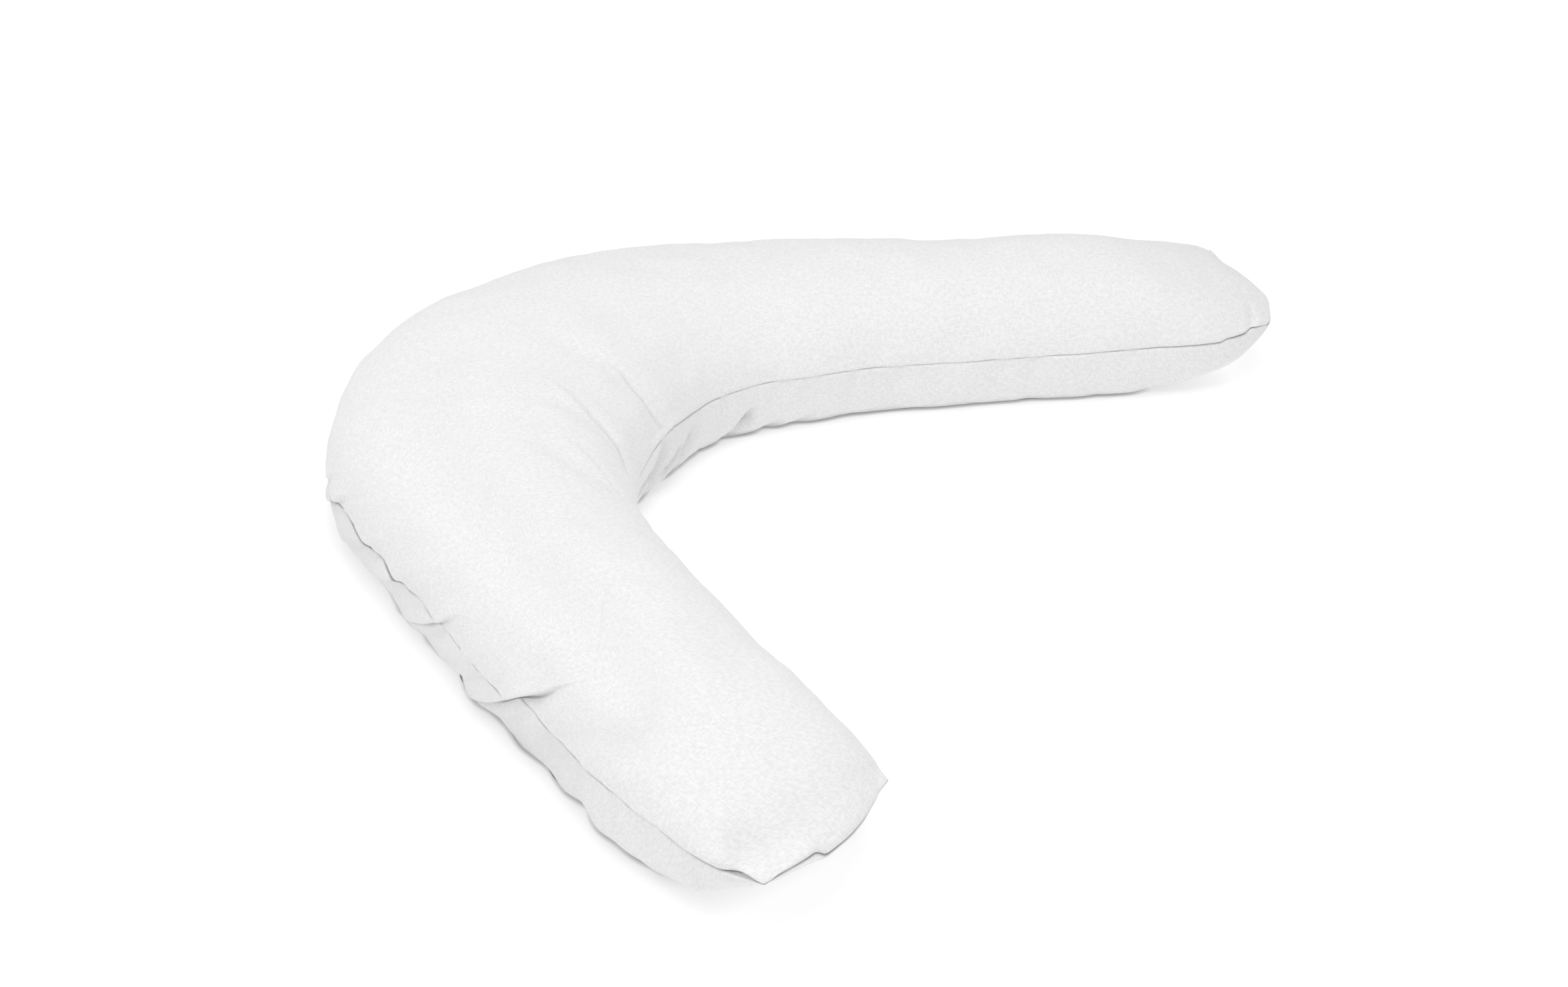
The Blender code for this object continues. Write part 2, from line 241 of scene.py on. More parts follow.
class FilledForm:
    """The smooth filled pillow, as a surface with two parameters.

    "Along" is the distance on the middle line from the near end, in metres. "Around" is the
    place on a section: 0 at the outer seam, 1 on the crest, 2 at the inner seam, 3 under the
    middle of the pillow and 4 back at the outer seam.
    """

    def __init__(self, line: MiddleLine, rows: tuple[SectionRow, ...]) -> None:
        """Keep the sizes.

        Args:
            line: the middle line.
            rows: the sections, from the near end to the far end.
        """
        self.line = line
        self.knots, *self.columns = np.array([astuple(row) for row in rows]).T
        self.under_places = np.array([INNER_EDGE, RING])
        self.partners = np.array([INNER_EDGE, 0.0])

    def pair_places(self, under_places: np.ndarray, partners: np.ndarray) -> None:
        """Say which place on top, 2 down to 0, each place under, 2 to 4, meets at the ends."""
        self.under_places, self.partners = under_places, partners

    def surface(self, along: np.ndarray, around: np.ndarray) -> np.ndarray:
        """Points of the smooth pillow.

        Above the seam a section is half an ellipse, across = cos(a pi/2), up = sin(a pi/2).
        Below it a quarter ellipse comes down to the floor on each side of the flat tread. An
        end's points stand ahead by skew times across, plus bulge times (0.5 - across^2).

        Args:
            along: distances along the middle line.
            around: places around the section, of the same shape.

        Returns:
            Points, of the same shape with a last axis of 3.
        """
        x, y, heading = self.line.at(along)
        half_width, crest, outer_seam, inner_seam, tread = (
            smooth_curve(self.knots, column, along) for column in self.columns
        )
        top_close, under_close, skew, bulge = 1.0, 1.0, 0.0, 0.0
        for end, inward in ((NEAR_END, along), (FAR_END, self.line.length - along)):
            top_close = top_close * quarter_round(inward, end.top_close) ** end.top_power
            under_close = under_close * quarter_round(inward, end.under_close) ** end.under_power
            fade = np.clip(1.0 - inward / END_FADE, 0.0, 1.0) ** 2
            skew = skew + end.skew * fade
            bulge = bulge + end.bulge * fade

        def seam_height(across: np.ndarray) -> np.ndarray:
            """Pass smoothly from the inner seam's height to the outer seam's."""
            return inner_seam + (outer_seam - inner_seam) * smoothstep(0.5 + 0.5 * across)

        angle = np.minimum(around, INNER_EDGE) * math.pi / 2
        top_seam = seam_height(np.cos(angle))
        top_z = top_seam + (crest - top_seam) * top_close * np.sin(angle)

        # under: 0 at the inner seam, 1 below the middle, 2 at the outer seam
        under = np.maximum(around, INNER_EDGE) - INNER_EDGE
        wall = np.minimum(np.minimum(under, 2.0 - under) / WALL, 1.0) * math.pi / 2
        on_wall = np.sign(under - 1.0) * (tread + (1.0 - tread) * np.cos(wall))
        on_tread = (under - 1.0) / (1.0 - WALL) * tread
        under_across = np.where(wall < math.pi / 2 - ROUNDING, on_wall, on_tread)
        # at the ends the underside's points draw in to those of the top, where both meet the seam
        partner = np.interp(around, self.under_places, self.partners)
        drawn_in = np.cos(partner * math.pi / 2) - under_across
        under_across = under_across + drawn_in * (1.0 - under_close)
        under_z = seam_height(under_across) * (1.0 - under_close * np.sin(wall))

        is_top = around <= INNER_EDGE
        across = np.where(is_top, np.cos(angle), under_across)
        left = half_width * across
        ahead = skew * across + bulge * (0.5 - across**2)
        x = x + left * -np.sin(heading) + ahead * np.cos(heading)
        y = y + left * np.cos(heading) + ahead * np.sin(heading)
        return np.stack([x, y, np.where(is_top, top_z, under_z)], axis=-1)


# ----------------------------------------------------------------------------------------------
# The sewn and pushed-together cloth


@dataclass(frozen=True)
class Places:
    """The places of the cover's grid, each of shape (rows, ring).

    along: the distance along, before the rows lean with the tucks. around: the place around the
    section. partner: the place on top that is met at an end seam. outer: whether the outer seam
    is the nearer one. height: metres of cloth up from the nearer long seam, negative below it.
    """

    along: np.ndarray
    around: np.ndarray
    partner: np.ndarray
    outer: np.ndarray
    height: np.ndarray


class Side(Enum):
    """Which of the two long seams a feature belongs to."""

    OUTER = "outer"
    INNER = "inner"


class Panel(Enum):
    """Where on the cover a feature lies."""

    TOP = "top"
    UNDER = "under"
    FOOT = "foot"


@dataclass(frozen=True)
class Tuck:
    """A fold across the outer seam, where one stretch of cloth laps over the next. Metres.

    at: how far along it is. step: how far the cloth steps out. at_floor: the share of the step
    left at the floor. lap: how far the lip reaches over the next stretch. swell, dip: how long
    the step takes to die out on the lapping side and on the other. climb: how far it runs up the
    top panel. edge: how wide the step itself is. proud: the share of the step that stands proud
    on the lapping side; the rest sinks on the other.
    """

    at: float
    step: float
    at_floor: float
    lap: float
    swell: float
    dip: float
    climb: float
    edge: float
    proud: float


@dataclass(frozen=True)
class Crease:
    """A soft valley, or with a negative depth a mound, along a path of (along, around) points.

    depth, half_width: in metres. start, finish: the shares of the path over which it deepens and
    dies out. left: the share of its depth left at the path's end. banks: how high it pushes up
    the cloth beside it, as a share. dark: how much shade is painted into the colour of its bottom,
    for how shut away from the light it is, 0 to 1.
    """

    path: tuple[tuple[float, float], ...]
    depth: float
    half_width: float
    start: float = 0.35
    finish: float = 0.2
    left: float = 0.4
    banks: float = 0.25
    dark: float = 0.0


@dataclass(frozen=True)
class Puckers:
    """Small valleys that run out of a long seam, or up from the foot of a wall.

    first, last: on which stretch. spacing, depth, half_width, reach: mid values in metres; each
    pucker takes its own place, depth, width, reach and lean within the spread. lean: metres along
    per metre of climb. bulge: how far the whole stretch stands out between the pinches.
    """

    side: Side
    panel: Panel
    first: float
    last: float
    spacing: float
    depth: float
    half_width: float
    reach: float
    lean: float
    spread: float
    seed: int
    bulge: float = 0.0


@dataclass(frozen=True)
class SeamSpot:
    """What a long seam does at one place. Metres.

    rise: how far it wanders above its smooth course. gap: how deep it sinks between the panels.
    half_width: of that groove. overhang: how far the top panel bulges out over the seam.
    """

    along: float
    rise: float
    gap: float
    half_width: float
    overhang: float = 0.0


# Where the outer side steps: place, step, share at the floor, lap, swell, dip, climb, edge, proud
TUCKS = (
    Tuck(0.362, 0.016, 0.20, 0.010, 0.045, 0.060, 0.085, 0.005, 0.35),
    Tuck(0.515, 0.008, 0.40, 0.003, 0.028, 0.028, 0.044, 0.007, 0.30),
    Tuck(0.598, 0.005, 0.50, 0.000, 0.025, 0.025, 0.040, 0.010, 0.60),
    Tuck(0.660, 0.004, 0.50, 0.000, 0.025, 0.025, 0.040, 0.010, 0.90),
    Tuck(0.745, 0.007, 0.60, 0.002, 0.025, 0.025, 0.035, 0.008, 0.90),
    Tuck(0.780, 0.004, 0.30, 0.001, 0.020, 0.015, 0.025, 0.005, 0.90),
)

# Broad troughs first, then the fine creases that lie in and between them:
# path, depth, half width
CREASES = (
    Crease(((0.930, 1.05), (0.910, 1.45), (0.885, 1.90)), 0.0030, 0.0160),
    Crease(((0.790, 1.20), (0.740, 1.50), (0.672, 1.84)), 0.0038, 0.0160),
    Crease(((0.690, 1.17), (0.610, 1.34), (0.560, 1.56)), 0.0028, 0.0180),
    Crease(((0.905, 2.00), (0.840, 2.25), (0.790, 2.42)), 0.0090, 0.0100, start=0.25, dark=0.12),
    Crease(((1.110, 2.05), (0.990, 2.30), (0.880, 2.45)), 0.0090, 0.0100, start=0.25, dark=0.12),
    Crease(((1.245, 2.12), (1.215, 2.30), (1.180, 2.45)), 0.0070, 0.0110),
    Crease(((1.299, 2.23), (1.276, 2.34), (1.250, 2.48)), 0.0040, 0.0070, left=0.9),
    Crease(((1.350, 2.20), (1.324, 2.32), (1.290, 2.48)), 0.0040, 0.0080, left=0.9),
    Crease(
        ((0.925, 1.38), (0.920, 1.49), (0.909, 1.55), (0.888, 1.68), (0.878, 1.80), (0.884, 1.92)),
        0.0024, 0.0027, start=0.40, left=0.8, banks=0.1, dark=0.12,
    ),
    Crease(
        ((0.848, 1.16), (0.789, 1.38), (0.762, 1.47), (0.730, 1.60), (0.703, 1.75), (0.640, 1.86)),
        0.0025, 0.0027, start=0.50, left=0.4, banks=0.1, dark=0.12,
    ),
    Crease(
        ((0.703, 1.17), (0.683, 1.31), (0.664, 1.40), (0.630, 1.47), (0.595, 1.52), (0.560, 1.56)),
        0.0015, 0.0028, start=0.5, left=0.6, banks=0.1, dark=0.04,
    ),
    Crease(((0.640, 1.30), (0.610, 1.44), (0.583, 1.49), (0.546, 1.51)), 0.0014, 0.0028, banks=0.1),
    Crease(((0.600, 1.28), (0.576, 1.36), (0.551, 1.42), (0.540, 1.53)), 0.0012, 0.0028, banks=0.1),
    Crease(
        ((0.898, 1.98), (0.867, 2.06), (0.825, 2.13), (0.760, 2.16)),
        0.0080, 0.0042, left=0.9, dark=0.10,
    ),
    Crease(
        ((1.026, 2.12), (0.980, 2.14), (0.935, 2.17), (0.890, 2.22)),
        0.0060, 0.0045, left=0.5, dark=0.10,
    ),
    Crease(((1.243, 2.10), (1.233, 2.22), (1.186, 2.36)), 0.0060, 0.0050, left=0.8, dark=0.15),
    # the far end's dimple by the seam's kink
    Crease(((1.868, 1.40), (1.873, 1.65), (1.874, 1.98)), 0.0030, 0.0060, left=0.9, banks=0.1),
    # the far end: the filling reaches well into the outer corner
    Crease(
        ((1.820, 0.38), (1.866, 0.26), (1.888, 0.17)),
        -0.0050, 0.0200, start=0.9, finish=0.2, left=1.0, banks=0.0,
    ),
    # the near end: the top falls away more steeply by the outer corner
    Crease(
        ((0.045, 0.16), (0.030, 0.35), (0.024, 0.75)),
        0.0110, 0.0300, start=0.3, finish=0.6, banks=0.0,
    ),
    Crease(((0.541, 3.90), (0.520, 4.00)), 0.0030, 0.0050, left=0.8),
    # the dent beside the big tuck
    Crease(
        ((0.352, 0.48), (0.325, 0.28), (0.275, 0.15)),
        0.0060, 0.0260, start=0.3, finish=0.6, left=0.0, banks=0.0,
    ),
)

PUCKERS = (
    # side, panel, first, last, spacing, depth, half width, reach, lean, spread, seed, bulge
    Puckers(Side.OUTER, Panel.TOP, 0.10, 0.80, 0.034, 0.0010, 0.008, 0.050, 0.6, 0.5, 11),
    Puckers(Side.OUTER, Panel.UNDER, 0.06, 0.85, 0.045, 0.0028, 0.011, 0.090, 0.3, 0.5, 12),
    Puckers(Side.OUTER, Panel.TOP, 0.85, 1.80, 0.060, 0.0008, 0.012, 0.050, 0.0, 0.5, 13),
    Puckers(Side.OUTER, Panel.UNDER, 0.85, 1.80, 0.070, 0.0016, 0.015, 0.080, 0.0, 0.5, 14),
    Puckers(Side.INNER, Panel.TOP, 0.08, 0.70, 0.055, 0.0010, 0.012, 0.050, 0.0, 0.5, 15),
    Puckers(Side.INNER, Panel.UNDER, 0.08, 0.75, 0.060, 0.0020, 0.013, 0.080, 0.0, 0.5, 16),
    Puckers(Side.INNER, Panel.TOP, 1.10, 1.80, 0.070, 0.0006, 0.012, 0.045, 0.0, 0.5, 17),
    Puckers(Side.INNER, Panel.UNDER, 1.15, 1.80, 0.055, 0.0020, 0.012, 0.075, 0.3, 0.5, 18),
    Puckers(Side.OUTER, Panel.FOOT, 0.12, 0.86, 0.027, 0.0035, 0.006, 0.030, 0.6, 0.5, 24),
    Puckers(Side.OUTER, Panel.FOOT, 0.90, 1.80, 0.065, 0.0030, 0.011, 0.045, 0.0, 0.4, 20, 0.0010),
    Puckers(Side.INNER, Panel.FOOT, 0.10, 0.75, 0.060, 0.0045, 0.011, 0.045, 0.0, 0.4, 21, 0.0020),
    Puckers(Side.INNER, Panel.FOOT, 1.00, 1.80, 0.070, 0.0022, 0.012, 0.045, 0.0, 0.4, 22, 0.0010),
)

OUTER_SEAM = (
    # along, rise, depth and half width of the gap, overhang
    SeamSpot(0.000, 0.000, 0.0035, 0.0016, 0.0015),
    SeamSpot(0.078, -0.003, 0.0035, 0.0016, 0.0015),
    SeamSpot(0.100, 0.000, 0.0026, 0.0012),
    SeamSpot(0.112, 0.002, 0.0030, 0.0014),
    SeamSpot(0.118, 0.001, 0.0026, 0.0012),
    SeamSpot(0.177, 0.005, 0.0026, 0.0012),
    SeamSpot(0.243, 0.006, 0.0024, 0.0011),
    SeamSpot(0.286, 0.003, 0.0026, 0.0011),
    SeamSpot(0.345, 0.005, 0.0028, 0.0012),
    SeamSpot(0.373, 0.001, 0.0024, 0.0012),
    SeamSpot(0.427, -0.003, 0.0024, 0.0011),
    SeamSpot(0.483, 0.003, 0.0026, 0.0012),
    SeamSpot(0.520, -0.003, 0.0055, 0.0022),
    SeamSpot(0.553, 0.003, 0.0065, 0.0028),
    SeamSpot(0.582, 0.000, 0.0065, 0.0026),
    SeamSpot(0.606, -0.007, 0.0070, 0.0028),
    SeamSpot(0.626, 0.005, 0.0075, 0.0034),
    SeamSpot(0.675, -0.004, 0.0075, 0.0032),
    SeamSpot(0.712, 0.003, 0.0075, 0.0034),
    SeamSpot(0.750, -0.008, 0.0060, 0.0024),
    SeamSpot(0.790, -0.004, 0.0035, 0.0015),
    SeamSpot(0.880, 0.000, 0.0020, 0.0011),
    SeamSpot(1.900, 0.000, 0.0025, 0.0013),
)

INNER_SEAM = (
    # along, rise, depth and half width of the gap, overhang
    SeamSpot(0.000, 0.000, 0.0030, 0.0014, 0.0010),
    SeamSpot(0.150, 0.000, 0.0024, 0.0011),
    SeamSpot(0.620, 0.000, 0.0024, 0.0011),
    SeamSpot(0.705, -0.003, 0.0025, 0.0013),
    SeamSpot(0.776, -0.004, 0.0025, 0.0013),
    SeamSpot(0.860, 0.006, 0.0025, 0.0013, 0.0010),
    SeamSpot(0.935, 0.012, 0.0030, 0.0014, 0.0010),
    SeamSpot(1.000, 0.009, 0.0030, 0.0014, 0.0010),
    SeamSpot(1.103, 0.002, 0.0030, 0.0013, 0.0005),
    SeamSpot(1.211, 0.000, 0.0021, 0.0011),
    SeamSpot(1.643, 0.001, 0.0020, 0.0010),
    SeamSpot(1.830, -0.001, 0.0035, 0.0015, 0.0010),
    SeamSpot(1.838, 0.002, 0.0035, 0.0015, 0.0010),
    SeamSpot(1.866, 0.001, 0.0045, 0.0018, 0.0015),
    SeamSpot(1.876, 0.005, 0.0040, 0.0016, 0.0015),
    SeamSpot(1.900, 0.000, 0.0030, 0.0014, 0.0010),
)

# How far out the outer wall stands at the floor, pinch by pinch, and halfway up
OUTER_WALL = (
    # along, at the floor, halfway up
    (0.030, 0.0000, 0.0000),
    (0.055, 0.0030, 0.0000),
    (0.075, 0.0105, 0.0000),
    (0.090, 0.0085, 0.0000),
    (0.105, 0.0050, 0.0000),
    (0.125, 0.0010, 0.0000),
    (0.150, -0.0010, 0.0000),
    (0.168, 0.0015, 0.0000),
    (0.186, 0.0055, 0.0000),
    (0.203, 0.0000, 0.0000),
    (0.220, 0.0075, 0.0000),
    (0.238, 0.0030, 0.0000),
    (0.257, 0.0085, 0.0000),
    (0.280, 0.0025, 0.0000),
    (0.315, 0.0030, 0.0000),
    (0.345, 0.0075, 0.0000),
    (0.362, 0.0020, 0.0000),
    (0.380, -0.0045, 0.0000),
    (0.397, -0.0080, 0.0000),
    (0.412, -0.0050, 0.0000),
    (0.430, 0.0000, 0.0000),
    (0.450, 0.0000, 0.0000),
    (0.470, -0.0030, 0.0000),
    (0.492, 0.0040, 0.0000),
    (0.508, 0.0040, 0.0000),
    (0.520, 0.0000, 0.0000),
    (0.630, 0.0000, 0.0015),
    (0.658, 0.0040, 0.0060),
    (0.700, 0.0030, 0.0055),
    (0.750, 0.0020, 0.0060),
    (0.785, 0.0010, 0.0060),
    (0.830, 0.0000, 0.0000),
)

# The near end's seam lifts to a small peak on its way between the corners: (around, rise)
END_KINK = ((0.00, 0.000), (0.30, 0.002), (0.74, 0.009), (0.83, -0.001), (1.20, 0.000), (2.00, 0.0))
END_KINK_REACH = 0.018

# The far end's seam, seen from above, is drawn in by the outer corner: (around, ahead)
FAR_COURSE = (
    (0.00, -0.005),
    (0.30, -0.009),
    (0.70, -0.011),
    (1.00, -0.005),
    (1.30, 0.004),
    (1.60, 0.003),
    (2.00, -0.005),
)
FAR_COURSE_REACH = 0.090


@dataclass(frozen=True)
class SeamSizes:
    """What the whole perimeter seam shares. Metres.

    shoulder: how far the cloth swells beside the seam. open_gap, full_gap: the depths of the gap
    at which shade begins to be painted into its colour, and is as dark as it gets.
    """

    end_gap: float = 0.0042
    end_half_width: float = 0.0018
    shoulder: float = 0.0006
    shoulder_width: float = 0.0080
    wander_reach: float = 0.030
    overhang_at: float = 0.0060
    overhang_reach: float = 0.0055
    corner_reach: float = 0.025
    open_gap: float = 0.0014
    full_gap: float = 0.0044


@dataclass(frozen=True)
class Lumps:
    """One scale of the uneven filling, as a sum of soft waves. Metres."""

    waves: int
    shortest: float
    longest: float
    height: float
    seed: int


LUMPS = (
    Lumps(36, 0.070, 0.260, 0.0011, 5),
    Lumps(40, 0.022, 0.065, 0.0004, 6),
)


@dataclass(frozen=True)
class LapShape:
    """How every tuck steps and laps.

    The steepnesses are of the step and of its lip over the tuck's edge. lip_lead, shade_lead: how
    far the lip and the shade painted under it lie ahead of the tuck, and shade_width, in edges.
    lip_hold: how long the lip goes on, in swells. shade_climb: how far up the painted shade goes,
    in climbs. deep_lap: a lap of this many metres has quite a dark painted shade beneath.
    """

    step_steepness: float = 2.5
    lip_steepness: float = 3.0
    lip_lead: float = 0.15
    lip_hold: float = 0.4
    shade_lead: float = 0.3
    shade_width: float = 0.5
    shade_climb: float = 0.7
    deep_lap: float = 0.010


LAP = LapShape()
CREASE_POINTS = 17  # a crease's path is followed in this many points
BANKS_WIDTH = 2.5  # its banks are wider than its valley by this factor
DARK_WIDTH = 0.8  # and its dark bottom is narrower
PUCKER_OFFSET = 0.6  # where in its spacing a pucker lies, before it takes its own place
TUCK_LEAN = 1.2  # how far a tuck runs back for each metre that it climbs above the seam
WALL_LEAN = 2.1  # and for each metre of the wall below the seam
LEAN_ENDS = (0.12, 1.02)  # the stretch whose rows lean with the tucks
LEAN_IN, LEAN_OUT = 0.20, 0.30  # the lengths over which they come to lean, and stand up again
LEAN_HIGH = 0.4  # the lean dies out between this place "around" and the crest
ARC_PER_AROUND = 0.165  # about the length of cloth from the seam to the crest
WALL_LENGTH = 0.075  # and from the seam to the floor
FOOT_FADE = 0.058  # how far up the wall its pinches and bulges at the floor die out
HALF_UP, HALF_UP_WIDTH = 0.035, 0.022  # how far below the seam the bulge halfway up lies
FOOT_REACH = 0.011  # how far up the foot the shade painted for the floor's crack dies out
FOOT_WAVES = ((0.083, 0.12), (0.041, 0.10))  # its unevenness: lengths, and shares of the reach

# Painted shade where the cloth meets the floor, for how shut away from the light it is there:
# (along, outer, inner)
FOOT_DARK = (
    (0.00, 0.15, 0.15),
    (0.05, 0.30, 0.25),
    (0.10, 0.50, 0.30),
    (0.36, 0.50, 0.35),
    (0.40, 0.60, 0.35),
    (0.49, 0.55, 0.35),
    (0.52, 0.25, 0.35),
    (0.80, 0.25, 0.40),
    (1.10, 0.15, 0.35),
    (1.35, 0.10, 0.20),
    (1.60, 0.10, 0.10),
    (1.90, 0.00, 0.05),
)


class ClothDetail:
    """Everything that the cloth does on top of the smooth filled form."""

    def __init__(self, form: FilledForm, seam: SeamSizes) -> None:
        """Keep the smooth filled form and the sizes of the perimeter seam."""
        self.form = form
        self.seam = seam

    @staticmethod
    def lean(at: Places) -> np.ndarray:
        """Slide the outer side's points along, so that the rows there lie along the tucks.

        Args:
            at: the grid's places.

        Returns:
            The leaning distances along.
        """
        height = np.where(at.outer, at.height, 0.0)
        upright = smoothstep((at.around - LEAN_HIGH) / (1.0 - LEAN_HIGH))
        up = np.maximum(height, 0.0) * (1.0 - upright)
        foot = smoothstep((at.around - BELLY) / (1.0 - WALL))
        down = np.clip(-height, 0.0, WALL_LENGTH) * foot
        leaning = within(at.along, LEAN_ENDS, LEAN_IN, LEAN_OUT)
        return at.along + (WALL_LEAN * down - TUCK_LEAN * up) * leaning

    @staticmethod
    def tucks(at: Places) -> tuple[np.ndarray, np.ndarray, np.ndarray]:
        """Step the cloth at each tuck, and lap its lip over the next stretch.

        Across a tuck the offset is a share of step tanh(past/edge), with a tail on each side. The
        lip also slides towards the near end, which folds the surface over itself.

        Args:
            at: the grid's places.

        Returns:
            How far the cloth moves out, how far it slides to the near end, and how much shade is
            painted on it where it lies under a lip, 0 to 1.
        """
        out, back, lip_shade = (np.zeros_like(at.along) for _ in range(3))
        fallen = smoothstep(-at.height / WALL_LENGTH)
        above_tread = smoothstep((at.height + 2.0 * WALL_LENGTH) / WALL_LENGTH)
        for tuck in TUCKS:
            past = at.along - tuck.at
            tail = np.exp(-np.abs(past) / np.where(past > 0.0, tuck.swell, tuck.dip))
            side = np.tanh(LAP.step_steepness * past / tuck.edge)
            reach = np.where(at.outer, 1.0 - smoothstep(at.height / tuck.climb), 0.0)
            reach = reach * above_tread * (1.0 - (1.0 - tuck.at_floor) * fallen)
            share = np.where(past > 0.0, tuck.proud, 1.0 - tuck.proud)
            out += share * tuck.step * side * tail * reach
            lead = past + LAP.lip_lead * tuck.edge
            lip = 0.5 + 0.5 * np.tanh(LAP.lip_steepness * lead / tuck.edge)
            held = np.exp(-np.maximum(past, 0.0) / (LAP.lip_hold * tuck.swell))
            back += tuck.lap * lip * held * reach
            # painted shade under the lip
            lead = past + tuck.lap * reach + LAP.shade_lead * tuck.edge
            shade = bell(lead, LAP.shade_width * tuck.edge)
            on_lip = 1.0 - smoothstep(at.height / (LAP.shade_climb * tuck.climb))
            lip_shade += tuck.lap / LAP.deep_lap * shade * np.where(at.outer, on_lip, 0.0)
        return out, back, lip_shade

    def creases(self, points: np.ndarray, around: np.ndarray) -> tuple[np.ndarray, np.ndarray]:
        """Sink the cloth along each crease's path, on the panel that the path lies on.

        Args:
            points: points of the surface.
            around: their places around.

        Returns:
            How far each point sinks, and how much shade is painted on it, for how shut away from
            the light it is, 0 to 1.
        """
        depth, dark = np.zeros(around.shape), np.zeros(around.shape)
        for crease in CREASES:
            knots = np.array(crease.path)
            at = np.linspace(0.0, len(knots) - 1.0, CREASE_POINTS)
            along, level = (np.interp(at, range(len(knots)), column) for column in knots.T)
            path = self.form.surface(along, level)
            distance, place = self.distance_to_path(points, path)
            fade = smoothstep(place / crease.start)
            fade *= 1.0 - (1.0 - crease.left) * smoothstep(1.0 - (1.0 - place) / crease.finish)
            fade = fade * ((around <= INNER_EDGE) == (knots[:, 1].mean() <= INNER_EDGE))
            valley = (1.0 + crease.banks) * bell(distance, crease.half_width)
            banks = crease.banks * bell(distance, BANKS_WIDTH * crease.half_width)
            depth += crease.depth * fade * (valley - banks)
            # painted shade at the bottom of the crease
            dark += crease.dark * fade * bell(distance, DARK_WIDTH * crease.half_width)
        return depth, dark

    @staticmethod
    def distance_to_path(points: np.ndarray, path: np.ndarray) -> tuple[np.ndarray, np.ndarray]:
        """Find how far each point lies from a chain of straight runs.

        Args:
            points: points, with a last axis of 3.
            path: the chain's corners.

        Returns:
            The distance, and the share of the chain at which the nearest spot lies.
        """
        nearest = np.full(points.shape[:-1], np.inf)
        place = np.zeros(points.shape[:-1])
        lengths = run_lengths(path)
        before = summed_up(lengths)
        for start, run, length, gone in zip(path, np.diff(path, axis=0), lengths, before):
            share = np.clip((points - start) @ run / length**2, 0.0, 1.0)
            distance = np.linalg.norm(points - start - share[..., None] * run, axis=-1)
            closer = distance < nearest
            place = np.where(closer, gone + share * length, place)
            nearest = np.where(closer, distance, nearest)
        return nearest, place / before[-1]

    @staticmethod
    def puckers(at: Places) -> np.ndarray:
        """Sink the small valleys that run out of the long seams and up from the foot.

        Args:
            at: the grid's places.

        Returns:
            How far each point sinks.
        """
        depth = np.zeros_like(at.along)
        for group in PUCKERS:
            near_side = at.outer == (group.side is Side.OUTER)
            here = near_side & ((at.around <= INNER_EDGE) == (group.panel is Panel.TOP))
            height = at.height + (WALL_LENGTH if group.panel is Panel.FOOT else 0.0)
            away = np.abs(height)
            random = np.random.default_rng(group.seed)
            for index in range(int((group.last - group.first) / group.spacing)):
                own = 1.0 + group.spread * random.uniform(-1.0, 1.0, 5)
                start = group.first + group.spacing * (index + PUCKER_OFFSET * own[0])
                middle = start + group.lean * own[1] * height
                fade = 1.0 - smoothstep(away / (group.reach * own[2]))
                valley = bell(at.along - middle, group.half_width * own[3])
                depth += np.where(here, group.depth * own[4] * valley * fade, 0.0)
            inside = within(at.along, (group.first, group.last), group.spacing, group.spacing)
            bulge = group.bulge * inside * (1.0 - smoothstep(away / group.reach))
            depth -= np.where(here, bulge, 0.0)
        return depth

    @staticmethod
    def outer_wall(at: Places) -> np.ndarray:
        """Bulge the outer wall out, and pinch it in where it meets the floor.

        Args:
            at: the grid's places.

        Returns:
            How far each point moves out, level with the floor.
        """
        places, at_floor, halfway = np.array(OUTER_WALL).T
        out = smooth_curve(places, at_floor, at.along)
        out = out * (1.0 - smoothstep(np.abs(at.height + WALL_LENGTH) / FOOT_FADE))
        out += smooth_curve(places, halfway, at.along) * bell(at.height + HALF_UP, HALF_UP_WIDTH)
        return np.where(at.around > BELLY, out, 0.0)

    @staticmethod
    def unevenness(points: np.ndarray) -> np.ndarray:
        """Raise and sink the cloth over the uneven filling: a sum of soft waves in space.

        Args:
            points: points of the surface.

        Returns:
            How far each point moves out.
        """
        total = np.zeros(points.shape[:-1])
        for lumps in LUMPS:
            random = np.random.default_rng(lumps.seed)
            share = 2.0 * lumps.height / math.sqrt(lumps.waves / 2.0) / lumps.longest
            for _ in range(lumps.waves):
                direction = random.normal(size=3)
                direction /= np.linalg.norm(direction)
                length = random.uniform(lumps.shortest, lumps.longest)
                phase = random.uniform(0.0, 2.0 * math.pi)
                wave = np.sin(points @ direction * (2.0 * math.pi / length) + phase)
                total += share * length * wave
        return total

    @staticmethod
    def read_seams(field: str, at: Places) -> np.ndarray:
        """Read a size of the nearer long seam, by its field's name in SeamSpot."""
        outer, inner = (
            np.interp(at.along, *np.array([(spot.along, getattr(spot, field)) for spot in spots]).T)
            for spots in (OUTER_SEAM, INNER_SEAM)
        )
        return np.where(at.outer, outer, inner)

    @staticmethod
    def foot_dark(at: Places, leaning: np.ndarray, height: np.ndarray) -> np.ndarray:
        """Say how much shade to paint in the crack between the cloth and the floor.

        Args:
            at: the grid's places.
            leaning: the leaning distances along.
            height: heights above the floor.

        Returns:
            The painted shade of each point, for how shut away from the light it is, 0 to 1.
        """
        places, *sides = np.array(FOOT_DARK).T
        dark = np.where(at.outer, *(np.interp(leaning, places, side) for side in sides))
        uneven = sum(
            share * np.sin(2.0 * math.pi * leaning / length) for length, share in FOOT_WAVES
        )
        return dark * (1.0 - smoothstep((height / FOOT_REACH / (1.0 + uneven)) ** 2))

